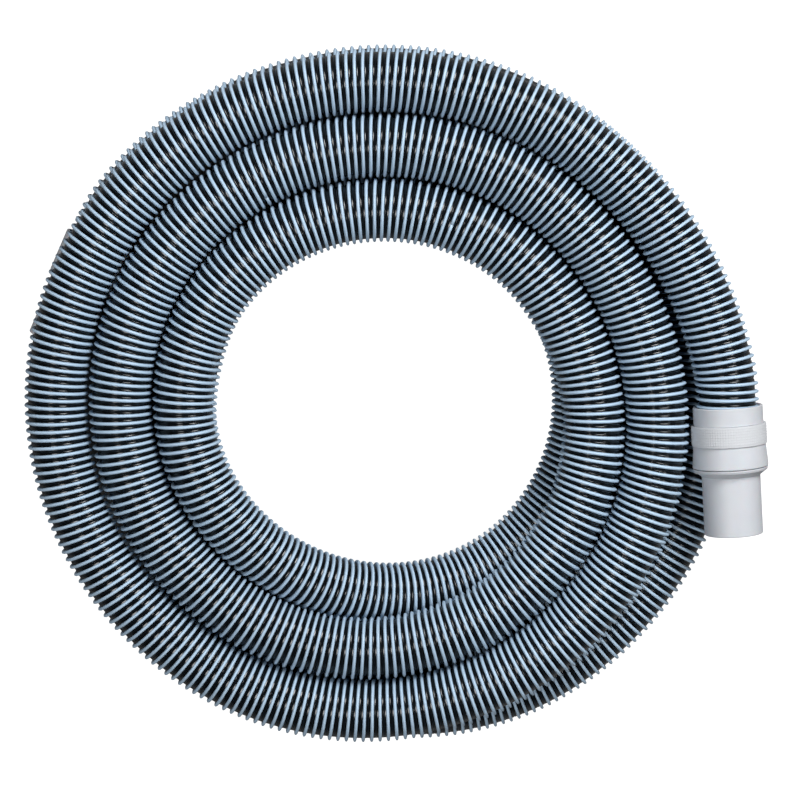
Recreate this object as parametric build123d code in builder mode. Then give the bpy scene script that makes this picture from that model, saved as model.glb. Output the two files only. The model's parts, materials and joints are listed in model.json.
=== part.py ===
"""Pool vacuum hose, 1-1/2 in bore, about 6.5 m long, wound in a flat coil of two layers.

Frame: +Z up, the coil lies on the floor at Z = 0, with the middle of its box on the Z axis.
The hose starts in its swivel cuff on the +X side, winds three turns inwards in the upper
layer, dives under itself and winds outwards again in the lower layer to its plain cuff.
Angles along the hose are in degrees of winding, counted from +X, anticlockwise from above.
"""
from build123d import *
import math
import os

# ---- hose -------------------------------------------------------------------------------
HOSE_BORE = 38.1          # 1-1/2 in
HOSE_WALL = 3.85          # web and bead together
TURN_GAP = 0.6            # air between neighbouring turns

# ---- coil: distance from the coil's centre to the centre line's tangent --------------------
INNER_RADIUS = 142.0      # innermost upper turn
UPPER_OVAL = 3.0          # how much wider than deep the upper turns lie
UPPER_STEP_START = 241.0  # where in each turn an upper turn starts to move in
UPPER_STEP_SPAN = 157.0
LOWER_EASE = 4.7          # how much larger the lower turns are
LOWER_SHIFT_X = 0.4       # how far they lie from the upper turns
LOWER_SHIFT_Y = -3.5
LOWER_STEP_START = 162.0  # where in each turn a lower turn starts to move out
LOWER_STEP_SPAN = 140.0
SWIVEL_STAND_OFF = 4.6    # how far the end lies outside its lane, to make room for its cuff
STAND_OFF_SPAN = 50.0
ARC_STEP = 15.0           # degrees of winding in one arc

# ---- along the hose, in degrees of winding -------------------------------------------------
SWIVEL_END = 3.6
DIVE_START = 912.0
DIVE_END = 1044.0
DIVE_CORNERS = 12
COIL_END = 1905.0
PLAIN_END = 1950.0
PLAIN_CORNERS = 5

# ---- both cuffs ------------------------------------------------------------------------------
SLIP = 0.2                # the cuff's bore over the hose's, for a spigot of the hose's bore
TAIL_WALL = 2.05
TAIL_LENGTH = 43.1
SHOULDER_LENGTH = 6.0
MOUTH_CHAMFER = 0.8

# ---- swivel cuff, lengths from the mouth of its collar ---------------------------------------
COLLAR_WALL = 2.3         # over the hose
SKIRT_RISE = 0.9          # collar just past its grip band, over its mouth
RIM_RISE = 2.1            # collar at the swivel joint, over its mouth
RIM_EDGE = 2.2            # straight edge beside the joint
BAND_RISE = 1.8
BAND_SEAT = 0.7           # depth of the band's groove in the collar
BAND_LENGTH = 15.0
BAND_SET_BACK = 2.0       # from the band to the collar's cavity
SWIVEL_SOCKET = 30.0      # depth of hose screwed into the collar
CAVITY_LENGTH = 14.3
CAVITY_STEP = 1.9         # cavity's radius over the hose's
STOP_RING_LENGTH = 2.0
STOP_RELIEF = 0.15        # ring's bore over the hose's, in radius
WASHER_LENGTH = 1.5
WASHER_RELIEF = 0.45
AXIAL_PLAY = 0.1          # each side of the swivel flange
FLANGE_LENGTH = 3.0
FLANGE_CLEARANCE = 0.1    # radial, flange in collar
NECK_WALL = 3.35
NECK_CLEARANCE = 0.05     # radial, neck in bush
BUSH_SPLIT = 2.0
JOINT_GAP = 0.4           # seen between collar and shoulder

# ---- plain cuff --------------------------------------------------------------------------------
PLAIN_WALL = 2.1          # over the hose
PLAIN_SOCKET = 28.0
PLAIN_STOP = 4.0          # end wall that the hose stops against
PLAIN_RELIEF = 0.5        # end wall's bore over the cuff's, in radius
PLAIN_NEAREST = 26.0      # along the cuff, where it comes nearest to the turn beside it
PLAIN_CLEARANCE = 2.6     # between the two there, apart from the cuff's wall

LAYER_GAP = 0.3

# ---- worked out ----------------------------------------------------------------------------------
HOSE_R = HOSE_BORE / 2 + HOSE_WALL
TURN_PITCH = 2 * HOSE_R + TURN_GAP
CUFF_BORE_R = (HOSE_BORE + SLIP) / 2
TAIL_R = CUFF_BORE_R + TAIL_WALL
NECK_R = CUFF_BORE_R + NECK_WALL
COLLAR_R = HOSE_R + COLLAR_WALL
RIM_R = COLLAR_R + RIM_RISE
PLAIN_R = HOSE_R + PLAIN_WALL
PLAIN_STAND_OFF = PLAIN_WALL + PLAIN_CLEARANCE
CAVITY_R = HOSE_R + CAVITY_STEP
FLANGE_R = CAVITY_R - FLANGE_CLEARANCE
LOWER_Z = HOSE_R
PLAIN_Z = PLAIN_R
UPPER_Z = max(2 * HOSE_R + LAYER_GAP + RIM_R, 2 * PLAIN_R + LAYER_GAP + HOSE_R)


def step(angle, start, span):
    """A smooth step from 0 to 1 over a span of winding, and its slope per radian."""
    x = min(max((angle - start) / span, 0.0), 1.0)
    return x * x * (3 - 2 * x), 6 * x * (1 - x) / math.radians(span)


def upper_lane(angle):
    """Distance of the tangent from the coil's centre in the upper layer, and its slope."""
    turn = math.radians(angle)
    distance = INNER_RADIUS + 2 * TURN_PITCH + UPPER_OVAL * math.cos(2 * turn)
    slope = -2 * UPPER_OVAL * math.sin(2 * turn)
    for n in (-1, 0, 1):
        part, rate = step(angle, UPPER_STEP_START + 360 * n, UPPER_STEP_SPAN)
        distance -= TURN_PITCH * (part - (n < 0))
        slope -= TURN_PITCH * rate
    part, rate = step(angle, SWIVEL_END, STAND_OFF_SPAN)
    return distance + SWIVEL_STAND_OFF * (1 - part), slope - SWIVEL_STAND_OFF * rate


def lower_lane(angle):
    """The same in the lower layer."""
    turn = math.radians(angle)
    distance = INNER_RADIUS + LOWER_EASE
    distance += LOWER_SHIFT_X * math.cos(turn) + LOWER_SHIFT_Y * math.sin(turn)
    slope = LOWER_SHIFT_Y * math.cos(turn) - LOWER_SHIFT_X * math.sin(turn)
    for n in (3, 4):
        part, rate = step(angle, LOWER_STEP_START + 360 * n, LOWER_STEP_SPAN)
        distance += TURN_PITCH * part
        slope += TURN_PITCH * rate
    part, rate = step(angle, PLAIN_END - STAND_OFF_SPAN, STAND_OFF_SPAN)
    return distance + PLAIN_STAND_OFF * part, slope + PLAIN_STAND_OFF * rate


def lane(angle):
    """The hose's own lane, which changes from upper to lower over the dive."""
    part, rate = step(angle, DIVE_START, DIVE_END - DIVE_START)
    upper, upper_slope = upper_lane(angle)
    lower, lower_slope = lower_lane(angle)
    distance = upper + (lower - upper) * part
    slope = upper_slope + (lower_slope - upper_slope) * part + (lower - upper) * rate
    return distance, slope


def height(angle):
    """Height of the centre line above the floor."""
    dive = step(angle, DIVE_START, DIVE_END - DIVE_START)[0]
    lift = step(angle, COIL_END, PLAIN_END - COIL_END)[0]
    return UPPER_Z + (LOWER_Z - UPPER_Z) * dive + (PLAIN_Z - LOWER_Z) * lift


def along(angle):
    """Direction of the hose where its outward normal points at an angle."""
    return Vector(-math.sin(math.radians(angle)), math.cos(math.radians(angle)), 0)


def outward(angle):
    return Vector(math.cos(math.radians(angle)), math.sin(math.radians(angle)), 0)


def centre_line(angle, z, stand_off=0.0):
    """Point of the centre line, or one that far outside it, from the coil's centre."""
    distance, slope = lane(angle)
    point = outward(angle) * (distance + stand_off) + along(angle) * slope
    return Vector(point.X, point.Y, z)


def hose_tube(path, label):
    """The hose as a plain tube along a path, with its volume printed against its length."""
    with BuildPart() as tube:
        with BuildSketch(Plane(origin=path @ 0, z_dir=path % 0)):
            Circle(HOSE_R)
            Circle(HOSE_BORE / 2, mode=Mode.SUBTRACT)
        sweep(path=path)
    section = math.pi * (HOSE_R ** 2 - (HOSE_BORE / 2) ** 2)
    ratio = tube.part.volume / (section * path.length)
    print(f"{label}: {path.length:.1f} mm long, volume {ratio:.4f} of section x length")
    tube.part.label = label
    return tube.part


def coil_path(start, end, point):
    """Flat coil of tangent arcs, each as curved as the lane is on average over its span."""
    count = round((end - start) / ARC_STEP)
    span = (end - start) / count
    with BuildLine() as path:
        for n in range(count):
            angle = start + n * span
            (d0, s0), (d1, _), (d2, s2) = (lane(angle + span * f) for f in (0, 0.5, 1))
            radius = (d0 + 4 * d1 + d2) / 6 + (s2 - s0) / math.radians(span)
            centre = point - outward(angle) * radius
            CenterArc(centre, radius, angle, span)
            point = centre + outward(angle + span) * radius
    return path.wire(), point


def bent_path(points):
    """Straight runs joined by the largest tangent arcs that they leave room for."""
    radii = []
    for before, corner, after in zip(points, points[1:], points[2:]):
        half_turn = math.radians((corner - before).get_angle(after - corner)) / 2
        run = min((corner - before).length, (after - corner).length)
        radii.append(0.45 * run / math.tan(half_turn))
    print("radii", [round(radius) for radius in radii])
    with BuildLine() as path:
        FilletPolyline(*points, radius=radii)
    return path.wire()


def winding_points(start, end, count):
    """Corners of the centre line's outer polygon, with the ends level."""
    span = (end - start) / count
    corners = []
    for n in range(count):
        angle = start + (n + 0.5) * span
        z = height(start + (end - start) * n / (count - 1))
        stand_off = lane(angle)[0] * (1 / math.cos(math.radians(span / 2)) - 1)
        corners.append(centre_line(angle, z, stand_off))
    return corners


def section_plane(mouth, direction):
    """Sketch plane through a cuff's axis: X along the cuff, Y out from its axis."""
    return Plane(origin=mouth, x_dir=direction, z_dir=(0, 0, 1))


def ring(mouth, direction, start, length, inner_r, outer_r):
    """Plain ring on a cuff's axis."""
    with BuildPart() as body:
        with BuildSketch(Plane(origin=mouth + direction * start, z_dir=direction)):
            Circle(outer_r)
            Circle(inner_r, mode=Mode.SUBTRACT)
        extrude(amount=length)
    return body.part


# ---- the hose ------------------------------------------------------------------------------------
swivel_mouth = centre_line(SWIVEL_END, UPPER_Z)
swivel_axis = along(SWIVEL_END) * -1

stub_path = Line(swivel_mouth, swivel_mouth + swivel_axis * SWIVEL_SOCKET)
hose_swivel_end = hose_tube(stub_path, "hose_swivel_end")

upper_path, dive_top = coil_path(SWIVEL_END, DIVE_START, swivel_mouth)
hose_upper_coil = hose_tube(upper_path, "hose_upper_coil")

dive_points = winding_points(DIVE_START, DIVE_END, DIVE_CORNERS)
dive_run = (dive_points[0] - dive_top).length
dive_points[0] = dive_top + along(DIVE_START) * dive_run
dive_foot = dive_points[-1] + along(DIVE_END) * dive_run
crossover_path = bent_path([dive_top, *dive_points, dive_foot])
hose_crossover = hose_tube(crossover_path, "hose_crossover")

lower_path, coil_foot = coil_path(DIVE_END, COIL_END, dive_foot)
hose_lower_coil = hose_tube(lower_path, "hose_lower_coil")

plain_toe_in = math.degrees(math.asin(PLAIN_NEAREST / lane(PLAIN_END)[0]))
plain_axis = along(PLAIN_END + plain_toe_in)
plain_points = winding_points(COIL_END, PLAIN_END, PLAIN_CORNERS)
plain_run = (plain_points[0] - coil_foot).length
plain_points[0] = coil_foot + along(COIL_END) * plain_run
plain_mouth = plain_points[-1] + plain_axis * plain_run
plain_stop = plain_mouth + plain_axis * PLAIN_SOCKET
plain_path = bent_path([coil_foot, *plain_points, plain_stop])
hose_plain_end = hose_tube(plain_path, "hose_plain_end")


# ---- swivel cuff ---------------------------------------------------------------------------------
swivel_section = section_plane(swivel_mouth, swivel_axis)
swivel_line = Axis(swivel_mouth, swivel_axis)
collar_length = SWIVEL_SOCKET + CAVITY_LENGTH
band_end = SWIVEL_SOCKET - BAND_SET_BACK
band_start = band_end - BAND_LENGTH
band_seat_r = COLLAR_R - BAND_SEAT
washer_start = SWIVEL_SOCKET + STOP_RING_LENGTH
neck_start = washer_start + WASHER_LENGTH + AXIAL_PLAY
flange_end = neck_start + FLANGE_LENGTH
bush_start = flange_end + AXIAL_PLAY
shoulder_start = collar_length + JOINT_GAP
tail_start = shoulder_start + SHOULDER_LENGTH
tail_end = tail_start + TAIL_LENGTH

# Collar: screwed onto the hose, with a groove for the grip band and a cavity for the swivel.
with BuildPart() as collar:
    with BuildSketch(swivel_section):
        with BuildLine():
            Polyline(
                (0, HOSE_R),
                (0, COLLAR_R),
                (band_start, COLLAR_R),
                (band_start, band_seat_r),
                (band_end, band_seat_r),
                (band_end, COLLAR_R + SKIRT_RISE),
                (collar_length - RIM_EDGE, RIM_R),
                (collar_length, RIM_R),
                (collar_length, CAVITY_R),
                (SWIVEL_SOCKET, CAVITY_R),
                (SWIVEL_SOCKET, HOSE_R),
                close=True,
            )
        make_face()
    revolve(axis=swivel_line)

# Grip band: soft textured ring moulded round the collar.
band_r = COLLAR_R + BAND_RISE
grip_band = ring(swivel_mouth, swivel_axis, band_start, BAND_LENGTH, band_seat_r, band_r)

# Stop ring: the hose's end and the washer seat on its two faces.
stop_bore_r = HOSE_BORE / 2 + STOP_RELIEF
stop_ring = ring(
    swivel_mouth, swivel_axis, SWIVEL_SOCKET, STOP_RING_LENGTH, stop_bore_r, CAVITY_R
)

# Seal washer: the swivel's flange turns against it.
washer_bore_r = HOSE_BORE / 2 + WASHER_RELIEF
seal_washer = ring(
    swivel_mouth, swivel_axis, washer_start, WASHER_LENGTH, washer_bore_r, CAVITY_R
)

# Split bush: snapped round the neck and pressed into the collar, it holds the flange.
with BuildPart() as bush:
    with BuildSketch(Plane(origin=swivel_mouth + swivel_axis * bush_start, z_dir=swivel_axis)):
        Circle(CAVITY_R)
        Circle(NECK_R + NECK_CLEARANCE, mode=Mode.SUBTRACT)
        with Locations((CAVITY_R, 0)):
            Rectangle(CAVITY_R, BUSH_SPLIT, mode=Mode.SUBTRACT)
    extrude(amount=collar_length - bush_start)

# Swivel tail: flange, neck, shoulder and the spigot sleeve, turning as one.
shoulder_mid = (
    shoulder_start + 0.6 * SHOULDER_LENGTH,
    TAIL_R + 0.62 * (RIM_R - TAIL_R),
)
with BuildPart() as tail:
    with BuildSketch(swivel_section):
        with BuildLine():
            Polyline(
                (tail_start, TAIL_R),
                (tail_end - MOUTH_CHAMFER, TAIL_R),
                (tail_end, TAIL_R - MOUTH_CHAMFER),
                (tail_end, CUFF_BORE_R),
                (neck_start, CUFF_BORE_R),
                (neck_start, FLANGE_R),
                (flange_end, FLANGE_R),
                (flange_end, NECK_R),
                (shoulder_start, NECK_R),
                (shoulder_start, RIM_R),
            )
            ThreePointArc((shoulder_start, RIM_R), shoulder_mid, (tail_start, TAIL_R))
        make_face()
    revolve(axis=swivel_line)


# ---- plain cuff ------------------------------------------------------------------------------------
plain_collar_length = PLAIN_SOCKET + PLAIN_STOP
plain_tail_start = plain_collar_length + SHOULDER_LENGTH
plain_tail_end = plain_tail_start + TAIL_LENGTH
plain_mid = (
    plain_collar_length + 0.6 * SHOULDER_LENGTH,
    TAIL_R + 0.62 * (PLAIN_R - TAIL_R),
)
with BuildPart() as plain:
    with BuildSketch(section_plane(plain_mouth, plain_axis)):
        with BuildLine():
            Polyline(
                (plain_tail_start, TAIL_R),
                (plain_tail_end - MOUTH_CHAMFER, TAIL_R),
                (plain_tail_end, TAIL_R - MOUTH_CHAMFER),
                (plain_tail_end, CUFF_BORE_R),
                (plain_collar_length, CUFF_BORE_R),
                (plain_collar_length, CUFF_BORE_R + PLAIN_RELIEF),
                (PLAIN_SOCKET, CUFF_BORE_R + PLAIN_RELIEF),
                (PLAIN_SOCKET, HOSE_R),
                (0, HOSE_R),
                (0, PLAIN_R),
                (plain_collar_length, PLAIN_R),
            )
            ThreePointArc(
                (plain_collar_length, PLAIN_R), plain_mid, (plain_tail_start, TAIL_R)
            )
        make_face()
    revolve(axis=Axis(plain_mouth, plain_axis))


# ---- row frame and files -----------------------------------------------------------------------------
pieces = {
    "hose_swivel_end": hose_swivel_end,
    "hose_upper_coil": hose_upper_coil,
    "hose_crossover": hose_crossover,
    "hose_lower_coil": hose_lower_coil,
    "hose_plain_end": hose_plain_end,
    "swivel_collar": collar.part,
    "grip_band": grip_band,
    "hose_stop_ring": stop_ring,
    "seal_washer": seal_washer,
    "split_bush": bush.part,
    "swivel_tail": tail.part,
    "plain_cuff": plain.part,
}
boxes = [piece.bounding_box() for piece in pieces.values()]
low = Vector(*(min(getattr(box.min, axis) for box in boxes) for axis in "XYZ"))
high = Vector(*(max(getattr(box.max, axis) for box in boxes) for axis in "XYZ"))
to_row = Location((-(low.X + high.X) / 2, -(low.Y + high.Y) / 2, -low.Z))

os.makedirs("parts", exist_ok=True)
for name, piece in pieces.items():
    moved = piece.moved(to_row)
    moved.label = name
    export_step(moved, f"parts/{name}.step")

print("box", high - low, "coil centre", to_row.position)
print("swivel mouth", swivel_mouth + to_row.position, "axis", swivel_axis)
print("swivel bore", neck_start, tail_end, "plain bore", plain_collar_length, plain_tail_end)
print("plain mouth", plain_mouth + to_row.position, "axis", plain_axis)
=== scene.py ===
import json
import math

import bmesh
import bpy
import numpy as np
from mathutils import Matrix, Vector


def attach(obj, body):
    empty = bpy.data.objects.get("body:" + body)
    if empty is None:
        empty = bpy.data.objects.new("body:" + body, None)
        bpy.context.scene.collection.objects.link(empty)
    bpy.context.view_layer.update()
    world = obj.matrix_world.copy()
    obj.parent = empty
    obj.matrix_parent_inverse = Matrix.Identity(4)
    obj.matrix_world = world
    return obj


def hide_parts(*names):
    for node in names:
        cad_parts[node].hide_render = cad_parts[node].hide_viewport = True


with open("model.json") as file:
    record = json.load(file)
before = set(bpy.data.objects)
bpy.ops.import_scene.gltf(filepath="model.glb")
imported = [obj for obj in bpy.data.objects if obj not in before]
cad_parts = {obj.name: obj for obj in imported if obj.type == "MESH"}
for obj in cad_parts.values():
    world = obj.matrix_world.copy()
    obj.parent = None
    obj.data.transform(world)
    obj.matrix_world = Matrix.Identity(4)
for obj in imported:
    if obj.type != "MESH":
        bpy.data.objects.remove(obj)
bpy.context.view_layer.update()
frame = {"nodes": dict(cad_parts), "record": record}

bl_info = {
    "name": "Coiled Pool Vacuum Hose",
    "version": (1, 0, 0),
    "blender": (4, 5, 0),
    "location": "3D View > Sidebar > Pool Hose",
    "description": "Builds a spiral-wound vacuum hose in its flat coil, with both cuffs, round a CAD frame",
    "category": "Mesh",
}

MM = 0.001

# ---- the hose's route, as the CAD model winds it: millimetres and degrees of winding ----------
HOSE_R = 22.9
HOSE_BORE_R = 19.05
TURN_PITCH = 2 * HOSE_R + 0.6
INNER_RADIUS = 142.0
UPPER_OVAL = 3.0
UPPER_STEP_START = 241.0
UPPER_STEP_SPAN = 157.0
LOWER_EASE = 4.7
LOWER_SHIFT_X = 0.4
LOWER_SHIFT_Y = -3.5
LOWER_STEP_START = 162.0
LOWER_STEP_SPAN = 140.0
SWIVEL_STAND_OFF = 4.6
PLAIN_STAND_OFF = 4.7
STAND_OFF_SPAN = 50.0
SWIVEL_END = 3.6
DIVE_START = 912.0
DIVE_END = 1044.0
COIL_END = 1905.0
PLAIN_END = 1950.0
LOWER_Z = HOSE_R
PLAIN_Z = 25.0
UPPER_Z = 73.4
POINTS_PER_TURN = 24

# ---- the cuffs, from the mouth that the hose enters by ------------------------------------------
SWIVEL_SOCKET = 30.0
SWIVEL_LENGTH = 93.8
BAND_START = 13.0
BAND_END = 28.0
COLLAR_END = 44.3
JOINT_END = 44.7
FLANGE_START = 33.6
FLANGE_END = 36.6
FLANGE_CLEARANCE = 0.3    # more than in the CAD model, so that the parting line turns freely
COLLAR_R = 25.2
BAND_SEAT_R = 24.5
BAND_R = 27.0
SKIRT_R = 26.1
RIM_R = 27.3
CAVITY_R = 24.8
NECK_R = 22.5
TAIL_R = 21.2
CUFF_BORE_R = 19.15
PLAIN_SOCKET = 28.0
PLAIN_LENGTH = 81.1
PLAIN_R = 25.0
PLAIN_COLLAR_END = 32.0
SOCKET_CLEARANCE = 0.1
END_CLEAR = 3.5           # from the hose's ends to the ends of its web and bead

# ---- how finely the meshes are made ---------------------------------------------------------------
LINER_AROUND = 28
LINER_SPACING = 5.0
WEB_STEPS = 20
WEB_LENGTHS = 2
BEAD_SUNK = 0.45          # how deep its foot is in the web
BEAD_STEPS = 28
BEAD_LENGTHS = 7
CUFF_SEGMENTS = 240
BAND_SEGMENTS = 480

# ---- camera: what it faces, from the coil's centre, in millimetres; the rest in metres -----------
CAMERA_ASIDE = Vector((11.3, 1.6, UPPER_Z))
CAMERA_LEAN = math.radians(6.0)
CAMERA_DISTANCE = 1.83
PICTURE_WIDTH = 0.5798

# ---- studio surroundings and floor ------------------------------------------------------------------
SURROUNDINGS = 0.04
PAPER_GREY = 0.18
PAPER_GLOW = 1.0
SHADE_RING_RADIUS = 191.0       # middle of the ring under the turns where the floor's glow is cut out, as painted shade in the gaps between them, then half its width, then its soft edge
SHADE_RING_HALF = 41.0
SHADE_RING_FADE = 22.0

HOSE_NODES = (
    "hose_swivel_end", "hose_upper_coil", "hose_crossover", "hose_lower_coil", "hose_plain_end",
)

MOUNTS = {mount["name"]: mount for mount in frame["record"]["mounts"]}


def linear(hex_colour):
    """An sRGB hex colour as the linear values that the shaders take."""
    channels = [int(hex_colour[i:i + 2], 16) / 255 for i in (1, 3, 5)]
    return [c / 12.92 if c <= 0.04045 else ((c + 0.055) / 1.055) ** 2.4 for c in channels]


# ---- route ----------------------------------------------------------------------------------------
def step(angle, start, span):
    """A smooth step from 0 to 1 over a span of winding, and its slope per radian."""
    x = min(max((angle - start) / span, 0.0), 1.0)
    return x * x * (3 - 2 * x), 6 * x * (1 - x) / math.radians(span)


def upper_lane(angle):
    """Distance of the tangent from the coil's centre in the upper layer, and its slope."""
    turn = math.radians(angle)
    distance = INNER_RADIUS + 2 * TURN_PITCH + UPPER_OVAL * math.cos(2 * turn)
    slope = -2 * UPPER_OVAL * math.sin(2 * turn)
    for n in (-1, 0, 1):
        part, rate = step(angle, UPPER_STEP_START + 360 * n, UPPER_STEP_SPAN)
        distance -= TURN_PITCH * (part - (n < 0))
        slope -= TURN_PITCH * rate
    part, rate = step(angle, SWIVEL_END, STAND_OFF_SPAN)
    return distance + SWIVEL_STAND_OFF * (1 - part), slope - SWIVEL_STAND_OFF * rate


def lower_lane(angle):
    """The same in the lower layer."""
    turn = math.radians(angle)
    distance = INNER_RADIUS + LOWER_EASE
    distance += LOWER_SHIFT_X * math.cos(turn) + LOWER_SHIFT_Y * math.sin(turn)
    slope = LOWER_SHIFT_Y * math.cos(turn) - LOWER_SHIFT_X * math.sin(turn)
    for n in (3, 4):
        part, rate = step(angle, LOWER_STEP_START + 360 * n, LOWER_STEP_SPAN)
        distance += TURN_PITCH * part
        slope += TURN_PITCH * rate
    part, rate = step(angle, PLAIN_END - STAND_OFF_SPAN, STAND_OFF_SPAN)
    return distance + PLAIN_STAND_OFF * part, slope + PLAIN_STAND_OFF * rate


def lane(angle):
    """The hose's own lane, which changes from upper to lower over the dive."""
    part, rate = step(angle, DIVE_START, DIVE_END - DIVE_START)
    upper, upper_slope = upper_lane(angle)
    lower, lower_slope = lower_lane(angle)
    distance = upper + (lower - upper) * part
    slope = upper_slope + (lower_slope - upper_slope) * part + (lower - upper) * rate
    return distance, slope


def height(angle):
    """Height of the centre line above the floor."""
    dive = step(angle, DIVE_START, DIVE_END - DIVE_START)[0]
    lift = step(angle, COIL_END, PLAIN_END - COIL_END)[0]
    return UPPER_Z + (LOWER_Z - UPPER_Z) * dive + (PLAIN_Z - LOWER_Z) * lift


def coil_point(angle, stand_off=0.0):
    """A point of the centre line, or one that far outside it, with the coil's centre at the origin."""
    distance, slope = lane(angle)
    turn = math.radians(angle)
    out = Vector((math.cos(turn), math.sin(turn), 0.0))
    along = Vector((-out.y, out.x, 0.0))
    point = out * (distance + stand_off) + along * slope
    point.z = height(angle)
    return point


def cuff_line(mount_name, total):
    """A cuff's mouth on the hose's side and its axis towards its own open end."""
    mount = MOUNTS[mount_name]
    axis = Vector(mount["axis"]).normalized()
    middle = Vector(mount["pos_m"]) / MM
    tip = middle + axis * mount["dims"]["length_mm"] / 2
    return tip - axis * total, axis


SWIVEL_MOUTH, SWIVEL_AXIS = cuff_line("swivel_cuff_bore", SWIVEL_LENGTH)
PLAIN_MOUTH, PLAIN_AXIS = cuff_line("plain_cuff_bore", PLAIN_LENGTH)
COIL_CENTRE = SWIVEL_MOUTH - coil_point(SWIVEL_END)


def control_points():
    """Control points of the hose's spline: the socket, the coil's turns by a loop, the other socket."""
    points = [SWIVEL_MOUTH + SWIVEL_AXIS * reach for reach in (SWIVEL_SOCKET, SWIVEL_SOCKET / 2, 0)]
    count = round((PLAIN_END - SWIVEL_END) / 360 * POINTS_PER_TURN)
    span = (PLAIN_END - SWIVEL_END) / count
    widen = 1 / math.cos(math.radians(span / 2)) - 1
    for n in range(count):
        angle = SWIVEL_END + (n + 0.5) * span
        points.append(COIL_CENTRE + coil_point(angle, lane(angle)[0] * widen))
    points += [PLAIN_MOUTH + PLAIN_AXIS * reach for reach in (0, PLAIN_SOCKET / 2, PLAIN_SOCKET)]
    return points


def spline_line(points, name, resolution=12):
    """Points read from the NURBS spline that has these control points, in metres."""
    data = bpy.data.curves.new(name, "CURVE")
    data.dimensions = "3D"
    data.resolution_u = resolution
    spline = data.splines.new("NURBS")
    spline.points.add(len(points) - 1)
    for target, point in zip(spline.points, points):
        target.co = (*(point * MM), 1.0)
    spline.order_u = 3
    spline.use_endpoint_u = True
    holder = bpy.data.objects.new(name, data)
    bpy.context.scene.collection.objects.link(holder)
    bpy.context.view_layer.update()
    graph = bpy.context.evaluated_depsgraph_get()
    mesh = bpy.data.meshes.new_from_object(holder.evaluated_get(graph))
    line = np.zeros(len(mesh.vertices) * 3)
    mesh.vertices.foreach_get("co", line)
    bpy.data.meshes.remove(mesh)
    bpy.data.objects.remove(holder)
    bpy.data.curves.remove(data)
    return line.reshape(-1, 3)


class Route:
    """The hose's centre line with a frame at every place along it, in metres."""

    def __init__(self):
        line = spline_line(control_points(), "hose_route")
        steps = np.linalg.norm(np.diff(line, axis=0), axis=1)
        line = line[np.r_[True, steps > 1e-7]]
        steps = np.linalg.norm(np.diff(line, axis=0), axis=1)
        self.line = line
        self.place = np.r_[0, np.cumsum(steps)]
        self.length = self.place[-1]
        tangent = np.gradient(line, self.place, axis=0)
        self.tangent = tangent / np.linalg.norm(tangent, axis=1)[:, None]

    def frames(self, places):
        """Centre, side, upward and forward directions at these distances along the hose."""
        centre = np.stack([np.interp(places, self.place, self.line[:, k]) for k in range(3)], 1)
        ahead = np.stack([np.interp(places, self.place, self.tangent[:, k]) for k in range(3)], 1)
        ahead /= np.linalg.norm(ahead, axis=1)[:, None]
        side = np.cross(ahead, (0.0, 0.0, 1.0))
        side /= np.linalg.norm(side, axis=1)[:, None]
        return centre, side, np.cross(side, ahead), ahead


# ---- materials ----------------------------------------------------------------------------------
def add_node(tree, kind, settings=None, links=None):
    """Adds a node, sets its properties and sockets, and links its inputs to other outputs."""
    node = tree.nodes.new(kind)
    for name, value in (settings or {}).items():
        if hasattr(node, name):
            setattr(node, name, value)
        else:
            node.inputs[name].default_value = value
    for name, output in (links or {}).items():
        tree.links.new(output, node.inputs[name])
    return node


def new_material(name, **shader):
    """A material with its Principled shader's sockets set, its node tree and its coordinates."""
    material = bpy.data.materials.new(name)
    material.use_nodes = True
    tree = material.node_tree
    tree.nodes.clear()
    surface = add_node(tree, "ShaderNodeBsdfPrincipled", shader)
    output = add_node(tree, "ShaderNodeOutputMaterial", links={"Surface": surface.outputs["BSDF"]})
    output.is_active_output = True
    place = add_node(tree, "ShaderNodeTexCoord").outputs["Object"]
    return material, tree, surface, place


def per_mm(size_mm):
    """Texture scale, in repeats per metre, of a pattern with features this large."""
    return 1000.0 / size_mm


def two_tone(tree, surface, pattern, low, high):
    """Base colour that runs from one colour to another with a pattern."""
    colour = add_node(tree, "ShaderNodeMix", {"data_type": "RGBA"}, {"Factor": pattern})
    colour.inputs[6].default_value = (*low, 1)
    colour.inputs[7].default_value = (*high, 1)
    tree.links.new(colour.outputs[2], surface.inputs["Base Color"])


def varied_gloss(tree, surface, pattern, low, high):
    """Roughness that runs between two values with a pattern."""
    gloss = add_node(tree, "ShaderNodeMapRange", {"To Min": low, "To Max": high}, {"Value": pattern})
    tree.links.new(gloss.outputs["Result"], surface.inputs["Roughness"])


def raised(tree, surface, pattern, strength, depth_mm):
    """Bump that follows a pattern."""
    settings = {"Strength": strength, "Distance": depth_mm * MM}
    bump = add_node(tree, "ShaderNodeBump", settings, {"Height": pattern})
    tree.links.new(bump.outputs["Normal"], surface.inputs["Normal"])


def noise(tree, place, size_mm, detail):
    """Noise with features of about this size."""
    settings = {"Scale": per_mm(size_mm), "Detail": detail}
    return add_node(tree, "ShaderNodeTexNoise", settings, {"Vector": place}).outputs["Fac"]


def extruded_eva_web(colours):
    """Extruded EVA tape, near black: glossy, with a faint haze of dust and handling."""
    material, tree, surface, place = new_material(
        "Extruded EVA web", IOR=1.46, **{"Specular IOR Level": 0.4}
    )
    haze = noise(tree, place, 9, 4.0)
    two_tone(tree, surface, haze, colours.web, colours.web_haze)
    varied_gloss(tree, surface, haze, 0.12, 0.24)
    ripple = noise(tree, place, 7, 1.0)
    raised(tree, surface, ripple, 0.2, 0.05)
    return material


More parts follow.
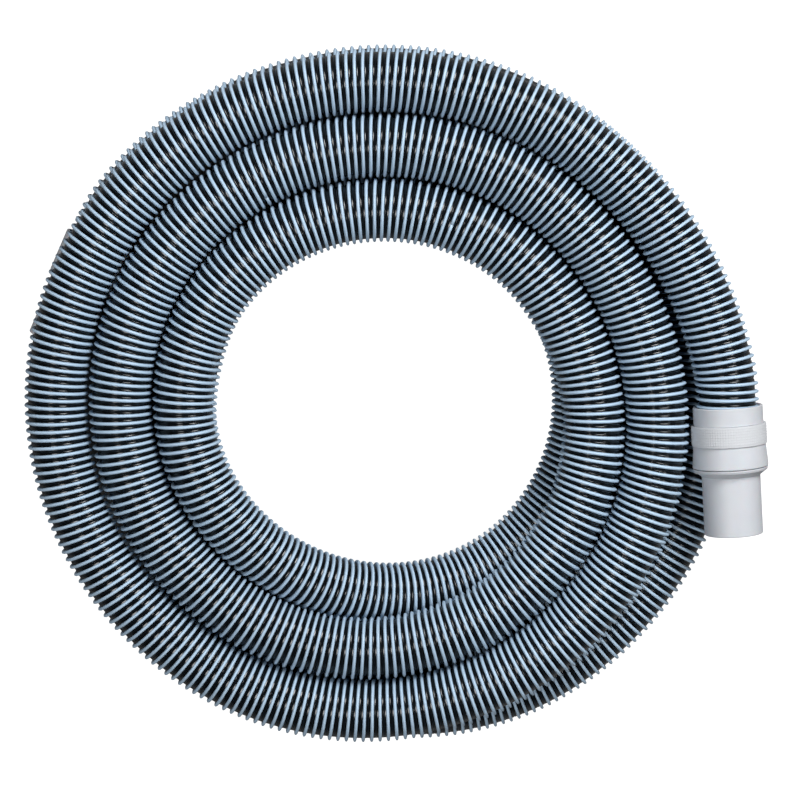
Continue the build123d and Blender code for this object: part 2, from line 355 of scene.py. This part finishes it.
def coextruded_bead(colours):
    """Co-extruded LLDPE bead, light steel blue: satin, its tone drifting along the hose."""
    material, tree, surface, place = new_material("Co-extruded LLDPE bead", IOR=1.51)
    drift = noise(tree, place, 35, 3.0)
    two_tone(tree, surface, drift, colours.bead, colours.bead_drift)
    scuffs = noise(tree, place, 1.5, 3.0)
    varied_gloss(tree, surface, scuffs, 0.34, 0.52)
    raised(tree, surface, scuffs, 0.3, 0.03)
    return material


def moulded_polyethylene(colours):
    """Injection-moulded polyethylene, cool pale grey: satin, a little waxy, fine orange peel."""
    material, tree, surface, place = new_material(
        "Moulded polyethylene", IOR=1.51,
        **{"Subsurface Weight": 0.08, "Subsurface Scale": 0.004},
    )
    cloud = noise(tree, place, 14, 3.0)
    two_tone(tree, surface, cloud, colours.cuff, colours.cuff_cloud)
    varied_gloss(tree, surface, cloud, 0.48, 0.6)
    peel = noise(tree, place, 1.2, 2.0)
    raised(tree, surface, peel, 0.12, 0.1)
    return material


def grip_overmould(colours):
    """Overmoulded soft TPE, off-white: matt, with the grain of an eroded mould."""
    material, tree, surface, place = new_material(
        "Overmoulded TPE grip", IOR=1.5, **{"Sheen Weight": 0.15, "Sheen Roughness": 0.5}
    )
    grain = noise(tree, place, 0.8, 4.0)
    two_tone(tree, surface, grain, colours.grip, colours.cuff)
    varied_gloss(tree, surface, grain, 0.5, 0.72)
    raised(tree, surface, grain, 0.3, 0.15)
    return material


def cut_rubber(colours):
    """Die-cut black nitrile rubber: dull, with a trace of talc."""
    material, tree, surface, place = new_material("Die-cut nitrile rubber", IOR=1.52)
    talc = noise(tree, place, 2.5, 4.0)
    two_tone(tree, surface, talc, colours.rubber, colours.talc)
    varied_gloss(tree, surface, talc, 0.55, 0.8)
    raised(tree, surface, talc, 0.2, 0.08)
    return material


def machined_acetal(colours):
    """Turned natural acetal: milky and slick, with the tool's fine rings."""
    material, tree, surface, place = new_material(
        "Turned acetal", IOR=1.48, **{"Subsurface Weight": 0.1, "Subsurface Scale": 0.003}
    )
    rings = add_node(
        tree, "ShaderNodeTexWave", {"Scale": per_mm(3), "Distortion": 0.4, "bands_direction": "Y"},
        {"Vector": place},
    ).outputs["Fac"]
    two_tone(tree, surface, rings, colours.acetal, colours.cuff)
    varied_gloss(tree, surface, rings, 0.22, 0.36)
    raised(tree, surface, rings, 0.15, 0.02)
    return material


# ---- meshes ---------------------------------------------------------------------------------------
def mesh_object(name, points, faces, material):
    """A smooth-shaded mesh object from points and quads, linked to the scene."""
    data = bpy.data.meshes.new(name)
    points = np.asarray(points, np.float32).reshape(-1, 3)
    faces = np.asarray(faces, np.int32)
    data.vertices.add(len(points))
    data.vertices.foreach_set("co", points.ravel())
    data.loops.add(faces.size)
    data.loops.foreach_set("vertex_index", faces.ravel())
    data.polygons.add(len(faces))
    data.polygons.foreach_set("loop_start", np.arange(0, faces.size, faces.shape[1], dtype=np.int32))
    data.update(calc_edges=True)
    data.validate()
    shell = bmesh.new()
    shell.from_mesh(data)
    bmesh.ops.recalc_face_normals(shell, faces=shell.faces)
    shell.to_mesh(data)
    shell.free()
    data.polygons.foreach_set("use_smooth", np.ones(len(data.polygons), bool))
    data.materials.append(material)
    piece = bpy.data.objects.new(name, data)
    bpy.context.scene.collection.objects.link(piece)
    return piece


def tube_faces(rings, around, close_rings=False):
    """Quads of a tube of rings, each of the same number of points, open or closed on itself."""
    ring = np.arange(rings if close_rings else rings - 1)[:, None]
    point = np.arange(around)[None, :]
    after, beside = (ring + 1) % rings, (point + 1) % around
    quads = [ring * around + point, after * around + point, after * around + beside, ring * around + beside]
    return np.stack(quads, -1).reshape(-1, 4)


def end_caps(rings, around):
    """Quads that close both ends of a tube whose rings are flat and even in number of points."""
    caps = []
    for first, turn in ((0, 1), ((rings - 1) * around, -1)):
        for n in range(around // 2 - 1):
            quad = [first + n, first + n + 1, first + around - 2 - n, first + around - 1 - n]
            caps.append(quad[::turn])
    return np.array(caps)


def helix_piece(name, route, outline, turns, pitch, steps, material):
    """A strip wound round the hose: its outline of (along, radius) pairs swept along the helix."""
    count = round((turns[1] - turns[0]) * steps) + 1
    turn = np.linspace(turns[0], turns[1], count)
    centre, side, up, ahead = route.frames(turn * pitch)
    angle = 2 * math.pi * turn
    out = np.cos(angle)[:, None] * side + np.sin(angle)[:, None] * up
    outline = np.array(outline) * MM
    points = (
        centre[:, None]
        + out[:, None] * outline[None, :, 1:2]
        + ahead[:, None] * outline[None, :, 0:1]
    )
    faces = np.vstack([tube_faces(count, len(outline)), end_caps(count, len(outline))])
    return mesh_object(name, points, faces, material)


def rounded(outline, radius, arc_steps=5):
    """A closed outline with each corner rounded, by up to 0.45 of its shorter side."""
    corners = [Vector(p) for p in outline]
    result = []
    for before, corner, after in zip(corners[-1:] + corners[:-1], corners, corners[1:] + corners[:1]):
        to_before, to_after = before - corner, after - corner
        turn = math.pi - to_before.angle(to_after)
        if turn < math.radians(8):
            result.append(corner)
            continue
        reach = min(radius * math.tan(turn / 2), 0.45 * to_before.length, 0.45 * to_after.length)
        start = corner + to_before.normalized() * reach
        end = corner + to_after.normalized() * reach
        for n in range(arc_steps + 1):
            t = n / arc_steps
            result.append(start * (1 - t) ** 2 + corner * 2 * t * (1 - t) + end * t ** 2)
    return result


def lathe(name, mouth, axis, outline, material, segments, relief):
    """A closed outline of (along, radius) pairs in millimetres, turned round a cuff's axis."""
    outline = np.array([tuple(p) for p in outline])
    side = axis.cross(Vector((0, 0, 1))).normalized()
    up = side.cross(axis)
    angle = np.linspace(0, 2 * math.pi, segments, endpoint=False)
    out = np.outer(np.cos(angle), side) + np.outer(np.sin(angle), up)
    along = np.broadcast_to(outline[:, 0], (segments, len(outline)))
    radius = np.broadcast_to(outline[:, 1], (segments, len(outline)))
    radius = radius + relief(angle[:, None], along, radius)
    points = np.array(mouth) + along[..., None] * np.array(axis) + radius[..., None] * out[:, None]
    faces = tube_faces(segments, len(outline), True)
    piece = mesh_object(name, points * MM, faces, material)
    piece.modifiers.new("flat_faces_shade_flat", "WEIGHTED_NORMAL").keep_sharp = True
    return piece


def repaint(node_name, material):
    """Gives a CAD node that stays its better material."""
    data = frame["nodes"][node_name].data
    data.materials.clear()
    data.materials.append(material)


def divided(outline, longest):
    """A closed outline with its edges split so that none is longer than this."""
    result = []
    for start, end in zip(outline, outline[1:] + outline[:1]):
        count = max(1, math.ceil((end - start).length / longest))
        result += [start.lerp(end, n / count) for n in range(count)]
    return result


# ---- settings -------------------------------------------------------------------------------------
def length_setting(name, description, millimetres):
    """A length that the user can change, in Blender's own units."""
    return bpy.props.FloatProperty(
        name=name, description=description, default=millimetres * MM, min=0.0,
        precision=4, subtype="DISTANCE", unit="LENGTH",
    )


def colour_setting(name, description, hex_colour):
    """A colour that the user can change."""
    return bpy.props.FloatVectorProperty(
        name=name, description=description, default=linear(hex_colour), min=0.0, max=1.0,
        size=3, subtype="COLOR",
    )


class PoolHoseSizes(bpy.types.PropertyGroup):
    """Sizes of what the hose's surface shows"""

    bead_pitch: length_setting("Bead pitch", "Distance from one turn of the bead to the next", 5.66)
    bead_width: length_setting("Bead width", "Width of the bead at its foot", 2.42)
    web_radius: length_setting("Web radius", "Outer radius of the web between the beads", 20.4)
    web_arch: length_setting("Web arch", "How far the web rises between the beads", 0.18)
    web_thickness: length_setting("Web thickness", "Thickness of the web", 0.5)
    edge_radius: length_setting("Edge radius", "Rounding of the cuffs' moulded edges", 0.8)
    grip_pitch: length_setting("Grip pitch", "Distance between the grip band's pimples", 1.9)
    grip_relief: length_setting("Grip relief", "Height of the grip band's pimples", 0.35)
    parting_line: length_setting("Parting line", "Height of the mould's parting line", 0.12)


class PoolHoseColours(bpy.types.PropertyGroup):
    """Colours of the hose's materials"""

    web: colour_setting("Web", "EVA web between the beads", "#020304")
    web_haze: colour_setting("Web haze", "Web where it is dusty or handled", "#07090c")
    bead: colour_setting("Bead", "Raised bead", "#aec6da")
    bead_drift: colour_setting("Bead drift", "Bead's other tone", "#a2b9ce")
    cuff: colour_setting("Cuff", "Moulded cuffs", "#bdc0c5")
    cuff_cloud: colour_setting("Cuff cloud", "Cuffs' other tone", "#b7bac0")
    grip: colour_setting("Grip", "Grip band", "#bbbdc0")
    rubber: colour_setting("Rubber", "Seal washer", "#17181a")
    talc: colour_setting("Talc", "Talc left on the washer", "#3a3c3f")
    acetal: colour_setting("Acetal", "Stop ring and split bush", "#e2e1da")
    floor: colour_setting("Floor", "Studio floor", "#ffffff")


# ---- stage ------------------------------------------------------------------------------------------
def studio_camera():
    """Perspective camera nearly straight over the coil, leaning from +Y."""
    data = bpy.data.cameras.new("camera")
    data.sensor_width = 36.0
    data.lens = data.sensor_width * CAMERA_DISTANCE / PICTURE_WIDTH
    data.clip_start, data.clip_end = 0.1, 20.0
    camera = bpy.data.objects.new("camera", data)
    back = Vector((0.0, math.sin(CAMERA_LEAN), math.cos(CAMERA_LEAN)))
    camera.location = (COIL_CENTRE + CAMERA_ASIDE) * MM + back * CAMERA_DISTANCE
    camera.rotation_euler = (-CAMERA_LEAN, 0.0, 0.0)
    bpy.context.scene.collection.objects.link(camera)
    bpy.context.scene.camera = camera


def studio_light(name, place, size, watts):
    """Softbox that faces the coil's middle."""
    data = bpy.data.lights.new(name, "AREA")
    data.shape = "RECTANGLE"
    data.size, data.size_y = size
    data.energy = watts
    light = bpy.data.objects.new(name, data)
    light.location = place
    light.rotation_euler = (-Vector(place)).to_track_quat("-Z", "Y").to_euler()
    bpy.context.scene.collection.objects.link(light)


def studio_floor(colour):
    """White paper that glows for the camera only, its glow cut out in a ring under the turns as painted
    shade in the gaps between them.
    """
    reach = 4.0
    corners = [(-reach, -reach, 0), (reach, -reach, 0), (reach, reach, 0), (-reach, reach, 0)]
    material, tree, surface, place = new_material("Studio paper", Roughness=0.9)
    surface.inputs["Base Color"].default_value = (*(PAPER_GREY * c for c in colour), 1)
    surface.inputs["Emission Color"].default_value = (*colour, 1)
    # The glow falls to nothing within the ring under the turns: painted shade in the gaps between them
    away = add_node(tree, "ShaderNodeVectorMath", {"operation": "DISTANCE"}, {0: place})
    away.inputs[1].default_value = COIL_CENTRE * MM
    off = add_node(tree, "ShaderNodeMath", {"operation": "SUBTRACT"}, {0: away.outputs["Value"]})
    off.inputs[1].default_value = SHADE_RING_RADIUS * MM
    beside = add_node(tree, "ShaderNodeMath", {"operation": "ABSOLUTE"}, {0: off.outputs["Value"]})
    glow_and_painted_shade = add_node(
        tree, "ShaderNodeMapRange",
        {"From Min": SHADE_RING_HALF * MM, "From Max": (SHADE_RING_HALF + SHADE_RING_FADE) * MM, "To Max": PAPER_GLOW},
        {"Value": beside.outputs["Value"]},
    )
    rays = add_node(tree, "ShaderNodeLightPath").outputs["Is Camera Ray"]
    seen = add_node(
        tree, "ShaderNodeMath", {"operation": "MULTIPLY"}, {0: glow_and_painted_shade.outputs["Result"], 1: rays}
    )
    tree.links.new(seen.outputs["Value"], surface.inputs["Emission Strength"])
    data = bpy.data.meshes.new("studio_floor")
    data.from_pydata(corners, [], [(0, 1, 2, 3)])
    data.materials.append(material)
    floor = bpy.data.objects.new("studio_floor", data)
    floor.location.z = -0.3 * MM
    bpy.context.scene.collection.objects.link(floor)


def studio_world(strength):
    """White surroundings that light the hose only faintly."""
    world = bpy.data.worlds.new("studio_world")
    world.use_nodes = True
    tree = world.node_tree
    background = tree.nodes["Background"]
    background.inputs["Color"].default_value = (1, 1, 1, 1)
    rays = add_node(tree, "ShaderNodeLightPath").outputs["Is Camera Ray"]
    seen = add_node(tree, "ShaderNodeMapRange", {"To Min": strength, "To Max": 1.0}, {"Value": rays})
    tree.links.new(seen.outputs["Result"], background.inputs["Strength"])
    bpy.context.scene.world = world


class POOLHOSE_OT_stage(bpy.types.Operator):
    """Adds the camera, the floor and the studio lights"""

    bl_idname = "pool_hose.stage"
    bl_label = "Studio"

    def execute(self, context):
        studio_camera()
        studio_floor(context.scene.pool_hose_colours.floor)
        studio_world(SURROUNDINGS)
        studio_light("key_softbox", (-1.2, -0.45, 3.6), (1.3, 1.3), 82.0)
        studio_light("side_softbox", (0.9, 1.3, 1.3), (0.8, 0.8), 44.0)
        studio_light("small_softbox", (1.7, -0.2, 1.75), (0.35, 0.35), 8.0)
        context.scene.view_settings.view_transform = "Standard"
        return {"FINISHED"}


# ---- pieces -------------------------------------------------------------------------------------------
def tube_with_bore(name, route, outer, inner, around, spacing, material):
    """A tube along the whole route, with an outside, a bore and two end faces."""
    count = math.ceil(route.length / spacing) + 1
    centre, side, up, _ = route.frames(np.linspace(0, route.length, count))
    angle = np.linspace(0, 2 * math.pi, around, endpoint=False)[None, :, None]
    out = np.cos(angle) * side[:, None] + np.sin(angle) * up[:, None]
    points = np.concatenate([centre[:, None] + out * outer, centre[:, None] + out * inner])
    outside = tube_faces(count, around)
    bore = outside[:, ::-1] + count * around
    ends = []
    for first in (0, (count - 1) * around):
        n = np.arange(around) + first
        beside = np.roll(n, -1)
        ends.append(np.stack([n, beside, beside + count * around, n + count * around], -1))
    return mesh_object(name, points, np.vstack([outside, bore, *ends]), material)


def wound_lengths(name, route, outline, pitch, steps, lengths, material, offset=0.0):
    """A strip wound along the whole hose, cut into lengths; offset is in turns."""
    last = (route.length - END_CLEAR * MM) / pitch
    cuts = np.linspace(END_CLEAR * MM / pitch, last, lengths + 1) + offset
    for n in range(lengths):
        piece = helix_piece(f"{name}_{n + 1}", route, outline, cuts[n:n + 2], pitch, steps, material)
        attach(piece, "hose")


def bead_outline(width, foot, crown):
    """Half-round bead section, with a flat foot sunk in the web: (along, radius) pairs."""
    rise = crown - foot
    return [
        (-0.5 * width, foot),
        (-0.48 * width, foot + 0.58 * rise),
        (-0.34 * width, foot + 0.87 * rise),
        (-0.12 * width, crown),
        (0.12 * width, crown),
        (0.34 * width, foot + 0.87 * rise),
        (0.48 * width, foot + 0.58 * rise),
        (0.5 * width, foot),
    ]


def web_outline(pitch, bead_width, crown, arch, thickness):
    """Web section, arched between one turn of the bead and the next: (along, radius) pairs."""
    edge, shoulder = 0.5 * pitch, 0.5 * (pitch - bead_width)
    return [
        (-edge, crown - arch),
        (-shoulder, crown - arch),
        (-0.42 * shoulder, crown - 0.1 * arch),
        (0.42 * shoulder, crown - 0.1 * arch),
        (shoulder, crown - arch),
        (edge, crown - arch),
        (edge, crown - arch - thickness),
        (-edge, crown - arch - thickness),
    ]


class POOLHOSE_OT_liner(bpy.types.Operator):
    """Adds the hose's smooth bore, as one tube along the whole route"""

    bl_idname = "pool_hose.liner"
    bl_label = "Hose liner"

    def execute(self, context):
        sizes = context.scene.pool_hose_sizes
        outer = sizes.web_radius - sizes.web_arch - 0.5 * sizes.web_thickness
        liner = tube_with_bore(
            "hose_liner", Route(), outer, HOSE_BORE_R * MM, LINER_AROUND, LINER_SPACING * MM,
            extruded_eva_web(context.scene.pool_hose_colours),
        )
        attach(liner, "hose")
        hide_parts(*HOSE_NODES)
        return {"FINISHED"}


class POOLHOSE_OT_web(bpy.types.Operator):
    """Adds the near-black web, a tape arched between the turns of the bead, in lengths"""

    bl_idname = "pool_hose.web"
    bl_label = "Hose web"

    def execute(self, context):
        sizes = context.scene.pool_hose_sizes
        outline = web_outline(
            sizes.bead_pitch / MM, sizes.bead_width / MM, sizes.web_radius / MM,
            sizes.web_arch / MM, sizes.web_thickness / MM,
        )
        wound_lengths(
            "hose_web", Route(), outline, sizes.bead_pitch, WEB_STEPS, WEB_LENGTHS,
            bpy.data.materials["Extruded EVA web"], offset=0.5,
        )
        return {"FINISHED"}


class POOLHOSE_OT_bead(bpy.types.Operator):
    """Adds the light raised bead that winds along the hose, in lengths"""

    bl_idname = "pool_hose.bead"
    bl_label = "Hose bead"

    def execute(self, context):
        sizes = context.scene.pool_hose_sizes
        foot = (sizes.web_radius - sizes.web_arch) / MM - BEAD_SUNK
        wound_lengths(
            "hose_bead", Route(), bead_outline(sizes.bead_width / MM, foot, HOSE_R),
            sizes.bead_pitch, BEAD_STEPS, BEAD_LENGTHS,
            coextruded_bead(context.scene.pool_hose_colours),
        )
        return {"FINISHED"}


def parting_line(rise, width=0.5):
    """Relief of a mould's parting line on two sides of a turned outside."""
    def relief(angle, along, radius):
        across = np.abs(np.sin(angle)) * radius
        return rise * np.exp(-(across / width) ** 2) * (radius > HOSE_R - 2)
    return relief


def pimples(pitch, rise, start, end):
    """Relief of staggered pimples between two places along a band's outside."""
    def relief(angle, along, radius):
        count = round(2 * math.pi * BAND_R / pitch)
        lift = np.sin(count * angle / 2) * np.sin(math.pi * along / pitch)
        edge = np.clip(np.minimum(along - start, end - along) / pitch, 0, 1)
        return rise * np.abs(lift) * edge * (radius > BAND_R - 0.1)
    return relief


class POOLHOSE_OT_plain_cuff(bpy.types.Operator):
    bl_idname = "pool_hose.plain_cuff"
    bl_label = "Plain cuff"

    def execute(self, context):
        sizes = context.scene.pool_hose_sizes
        outline = [
            (0, HOSE_R + SOCKET_CLEARANCE), (0, PLAIN_R), (PLAIN_COLLAR_END, PLAIN_R),
            (PLAIN_COLLAR_END + 2.2, PLAIN_R - 0.5), (PLAIN_COLLAR_END + 4.2, 22.4),
            (PLAIN_COLLAR_END + 6.0, TAIL_R), (PLAIN_LENGTH, TAIL_R),
            (PLAIN_LENGTH, CUFF_BORE_R), (PLAIN_SOCKET, CUFF_BORE_R),
            (PLAIN_SOCKET, HOSE_R + SOCKET_CLEARANCE),
        ]
        cuff = lathe(
            "plain_cuff_shell", PLAIN_MOUTH, PLAIN_AXIS,
            rounded(outline, sizes.edge_radius / MM),
            moulded_polyethylene(context.scene.pool_hose_colours), CUFF_SEGMENTS,
            parting_line(sizes.parting_line / MM),
        )
        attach(cuff, "hose")
        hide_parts("plain_cuff")
        route = Route()
        wound = [f"hose_web_{n + 1}" for n in range(WEB_LENGTHS)]
        wound += [f"hose_bead_{n + 1}" for n in range(BEAD_LENGTHS)]
        return {"FINISHED"}


class POOLHOSE_OT_swivel_cuff(bpy.types.Operator):
    """Adds the swivel cuff's collar and grip band, and the tail that turns in them"""

    bl_idname = "pool_hose.swivel_cuff"
    bl_label = "Swivel cuff"

    def execute(self, context):
        sizes, colours = context.scene.pool_hose_sizes, context.scene.pool_hose_colours
        plastic = bpy.data.materials.get("Moulded polyethylene") or moulded_polyethylene(colours)
        edge = sizes.edge_radius / MM
        line = parting_line(sizes.parting_line / MM)
        collar_outline = [
            (0, HOSE_R + SOCKET_CLEARANCE), (0, COLLAR_R), (BAND_START, COLLAR_R),
            (BAND_START, BAND_SEAT_R), (BAND_END, BAND_SEAT_R), (BAND_END, SKIRT_R),
            (COLLAR_END - 2.2, RIM_R),
            (COLLAR_END, RIM_R), (COLLAR_END, CAVITY_R), (SWIVEL_SOCKET, CAVITY_R),
            (SWIVEL_SOCKET, HOSE_R + SOCKET_CLEARANCE),
        ]
        collar = lathe(
            "swivel_collar_shell", SWIVEL_MOUTH, SWIVEL_AXIS, rounded(collar_outline, edge),
            plastic, CUFF_SEGMENTS, line,
        )
        tail_outline = [
            (FLANGE_START, CUFF_BORE_R), (FLANGE_START, CAVITY_R - FLANGE_CLEARANCE),
            (FLANGE_END, CAVITY_R - FLANGE_CLEARANCE), (FLANGE_END, NECK_R),
            (JOINT_END, NECK_R), (JOINT_END, RIM_R),
            (JOINT_END + 2.2, RIM_R - 0.9), (JOINT_END + 4.4, 23.3), (JOINT_END + 6.0, TAIL_R),
            (SWIVEL_LENGTH, TAIL_R), (SWIVEL_LENGTH, CUFF_BORE_R),
        ]
        tail = lathe(
            "swivel_tail_shell", SWIVEL_MOUTH, SWIVEL_AXIS, rounded(tail_outline, edge),
            plastic, CUFF_SEGMENTS, line,
        )
        band_outline = [
            (BAND_START + 0.05, BAND_SEAT_R), (BAND_START + 0.05, BAND_R),
            (BAND_END - 0.05, BAND_R), (BAND_END - 0.05, BAND_SEAT_R),
        ]
        band = lathe(
            "grip_band_cover", SWIVEL_MOUTH, SWIVEL_AXIS,
            divided(rounded(band_outline, 0.4 * edge), 0.45), grip_overmould(colours), BAND_SEGMENTS,
            pimples(sizes.grip_pitch / MM, sizes.grip_relief / MM, BAND_START, BAND_END),
        )
        for piece, body, slot, node in (
            (collar, "hose", "cuff_shell", "swivel_collar"),
            (tail, "swivel", "cuff_tail", "swivel_tail"),
            (band, "hose", "grip_band", "grip_band"),
        ):
            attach(piece, body)
            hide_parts(node)
        return {"FINISHED"}


class POOLHOSE_OT_inner_rings(bpy.types.Operator):
    """Gives the rings inside the swivel their materials"""

    bl_idname = "pool_hose.inner_rings"
    bl_label = "Inner rings"

    def execute(self, context):
        colours = context.scene.pool_hose_colours
        acetal = machined_acetal(colours)
        repaint("hose_stop_ring", acetal)
        repaint("split_bush", acetal)
        repaint("seal_washer", cut_rubber(colours))
        return {"FINISHED"}


# ---- add-on -----------------------------------------------------------------------------------------
OPERATORS = (
    POOLHOSE_OT_stage,
    POOLHOSE_OT_liner,
    POOLHOSE_OT_web,
    POOLHOSE_OT_bead,
    POOLHOSE_OT_plain_cuff,
    POOLHOSE_OT_swivel_cuff,
    POOLHOSE_OT_inner_rings,
)


class POOLHOSE_PT_panel(bpy.types.Panel):
    """Lists the hose's operators and settings"""

    bl_label = "Pool Hose"
    bl_space_type = "VIEW_3D"
    bl_region_type = "UI"
    bl_category = "Pool Hose"

    def draw(self, context):
        for operator in OPERATORS:
            self.layout.operator(operator.bl_idname)
        for group in (context.scene.pool_hose_sizes, context.scene.pool_hose_colours):
            box = self.layout.box()
            for name in group.__annotations__:
                box.prop(group, name)


CLASSES = (PoolHoseSizes, PoolHoseColours, *OPERATORS, POOLHOSE_PT_panel)


def register():
    for cls in CLASSES:
        bpy.utils.register_class(cls)
    bpy.types.Scene.pool_hose_sizes = bpy.props.PointerProperty(type=PoolHoseSizes)
    bpy.types.Scene.pool_hose_colours = bpy.props.PointerProperty(type=PoolHoseColours)


def unregister():
    del bpy.types.Scene.pool_hose_colours
    del bpy.types.Scene.pool_hose_sizes
    for cls in reversed(CLASSES):
        bpy.utils.unregister_class(cls)


def main():
    """Builds the hose from the CAD frame."""
    register()
    for operator in OPERATORS:
        family, name = operator.bl_idname.split(".")
        getattr(getattr(bpy.ops, family), name)()


if __name__ == "__main__":
    main()
